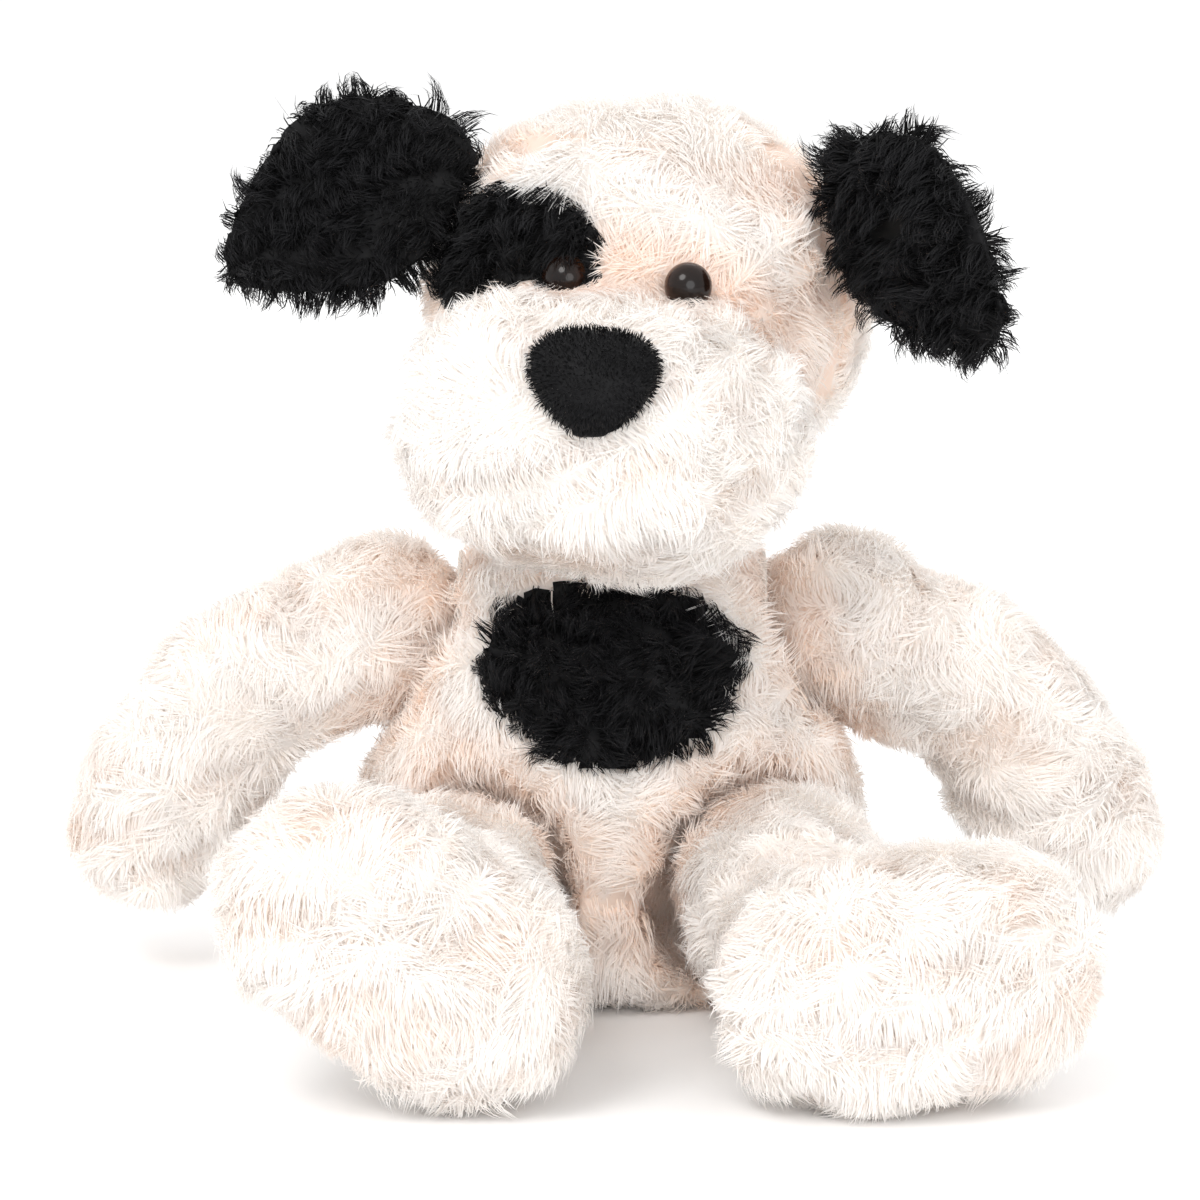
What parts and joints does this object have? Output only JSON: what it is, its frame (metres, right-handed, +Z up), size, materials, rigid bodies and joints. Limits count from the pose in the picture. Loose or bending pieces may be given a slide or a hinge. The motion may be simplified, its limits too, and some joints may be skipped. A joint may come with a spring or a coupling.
{
  "type": "plush dog",
  "caption": "Seated soft-toy dog of cream long-pile plush with black ears, eye patch and chest patch, turning head, arms, legs, ears and tail.",
  "frame": {"origin": "middle of the flat seat panel that the dog sits on", "axes": "+Z up; the dog faces -Y; +X is the dog's own left"},
  "size_m": [0.317, 0.2662, 0.2519],
  "materials": {
    "cream_plush": "matte",
    "black_plush": "matte",
    "fibre": "matte",
    "pouch_cloth": "matte",
    "thread": "matte",
    "eye_gloss": "gloss",
    "washer_plastic": "matte"
  },
  "bodies": {
    "body": {"seat_panel": "cream_plush", "belly_panel": "cream_plush", "chest_patch": "black_plush", "left_back_panel": "cream_plush", "right_back_panel": "cream_plush", "seat_pellet_pouch": "pouch_cloth", "body_filling": "fibre"},
    "neck_seam": {"neck_thread": "thread"},
    "head": {"head_left_panel": "cream_plush", "head_right_panel": "cream_plush", "eye_patch": "black_plush", "head_back_panel": "cream_plush", "muzzle_top_panel": "cream_plush", "muzzle_chin_panel": "cream_plush", "head_filling": "fibre", "nose_cover": "black_plush", "nose_filling": "fibre", "left_eye": "eye_gloss", "right_eye": "eye_gloss", "left_eye_washer": "washer_plastic", "right_eye_washer": "washer_plastic"},
    "left_ear": {"left_ear_front_panel": "black_plush", "left_ear_back_panel": "black_plush"},
    "right_ear": {"right_ear_front_panel": "black_plush", "right_ear_back_panel": "black_plush"},
    "tail": {"tail_left_panel": "cream_plush", "tail_right_panel": "cream_plush", "tail_filling": "fibre"},
    "left_shoulder_seam": {"left_shoulder_thread": "thread"},
    "left_arm": {"left_arm_front_panel": "cream_plush", "left_arm_back_panel": "cream_plush", "left_arm_filling": "fibre"},
    "left_hip_seam": {"left_hip_thread": "thread"},
    "left_leg": {"left_foot_sole": "cream_plush", "left_leg_upper_panel": "cream_plush", "left_leg_under_panel": "cream_plush", "left_foot_pellet_pouch": "pouch_cloth", "left_leg_filling": "fibre"},
    "right_shoulder_seam": {"right_shoulder_thread": "thread"},
    "right_arm": {"right_arm_front_panel": "cream_plush", "right_arm_back_panel": "cream_plush", "right_arm_filling": "fibre"},
    "right_hip_seam": {"right_hip_thread": "thread"},
    "right_leg": {"right_foot_sole": "cream_plush", "right_leg_upper_panel": "cream_plush", "right_leg_under_panel": "cream_plush", "right_foot_pellet_pouch": "pouch_cloth", "right_leg_filling": "fibre"}
  },
  "joints": [
    {"name": "head_turn", "type": "hinge", "parent": "body", "child": "neck_seam", "pos_m": [0.006, 0.004, 0.108], "axis": [0, 0, 1], "range_deg": [-25, 45]},
    {"name": "head_nod", "type": "hinge", "parent": "neck_seam", "child": "head", "pos_m": [0.006, 0.004, 0.108], "axis": [-0.9877, 0.1564, 0], "range_deg": [-0.5, 22]},
    {"name": "left_arm_swing", "type": "hinge", "parent": "body", "child": "left_shoulder_seam", "pos_m": [0.06457, 0.004, 0.099], "axis": [-1, 0, 0], "range_deg": [-35, 70]},
    {"name": "left_arm_lift", "type": "hinge", "parent": "left_shoulder_seam", "child": "left_arm", "pos_m": [0.06457, 0.004, 0.099], "axis": [0, -1, 0], "range_deg": [-1, 45]},
    {"name": "left_leg_splay", "type": "hinge", "parent": "body", "child": "left_hip_seam", "pos_m": [0.046, -0.05413, 0.034], "axis": [0, 0, 1], "range_deg": [-8, 25]},
    {"name": "left_leg_lift", "type": "hinge", "parent": "left_hip_seam", "child": "left_leg", "pos_m": [0.046, -0.05413, 0.034], "axis": [-0.9903, -0.1392, 0], "range_deg": [-30, 10]},
    {"name": "left_ear_flap", "type": "hinge", "parent": "head", "child": "left_ear", "pos_m": [0.06229, -0.02556, 0.21142], "axis": [0.3076, -0.2246, -0.9246], "range_deg": [-45, 15]},
    {"name": "right_arm_swing", "type": "hinge", "parent": "body", "child": "right_shoulder_seam", "pos_m": [-0.06457, 0.004, 0.099], "axis": [-1, 0, 0], "range_deg": [-35, 70]},
    {"name": "right_arm_lift", "type": "hinge", "parent": "right_shoulder_seam", "child": "right_arm", "pos_m": [-0.06457, 0.004, 0.099], "axis": [0, 1, 0], "range_deg": [-1, 45]},
    {"name": "right_leg_splay", "type": "hinge", "parent": "body", "child": "right_hip_seam", "pos_m": [-0.046, -0.05413, 0.034], "axis": [0, 0, -1], "range_deg": [-1, 30]},
    {"name": "right_leg_lift", "type": "hinge", "parent": "right_hip_seam", "child": "right_leg", "pos_m": [-0.046, -0.05413, 0.034], "axis": [-0.9976, -0.0698, 0], "range_deg": [-30, 10]},
    {"name": "right_ear_flap", "type": "hinge", "parent": "head", "child": "right_ear", "pos_m": [-0.04566, -0.00846, 0.21715], "axis": [0.4556, 0.1037, 0.8841], "range_deg": [-15, 40]},
    {"name": "tail_wag", "type": "hinge", "parent": "body", "child": "tail", "pos_m": [0, 0.06134, 0.024], "axis": [0, 0, 1], "range_deg": [-30, 30]}
  ]
}
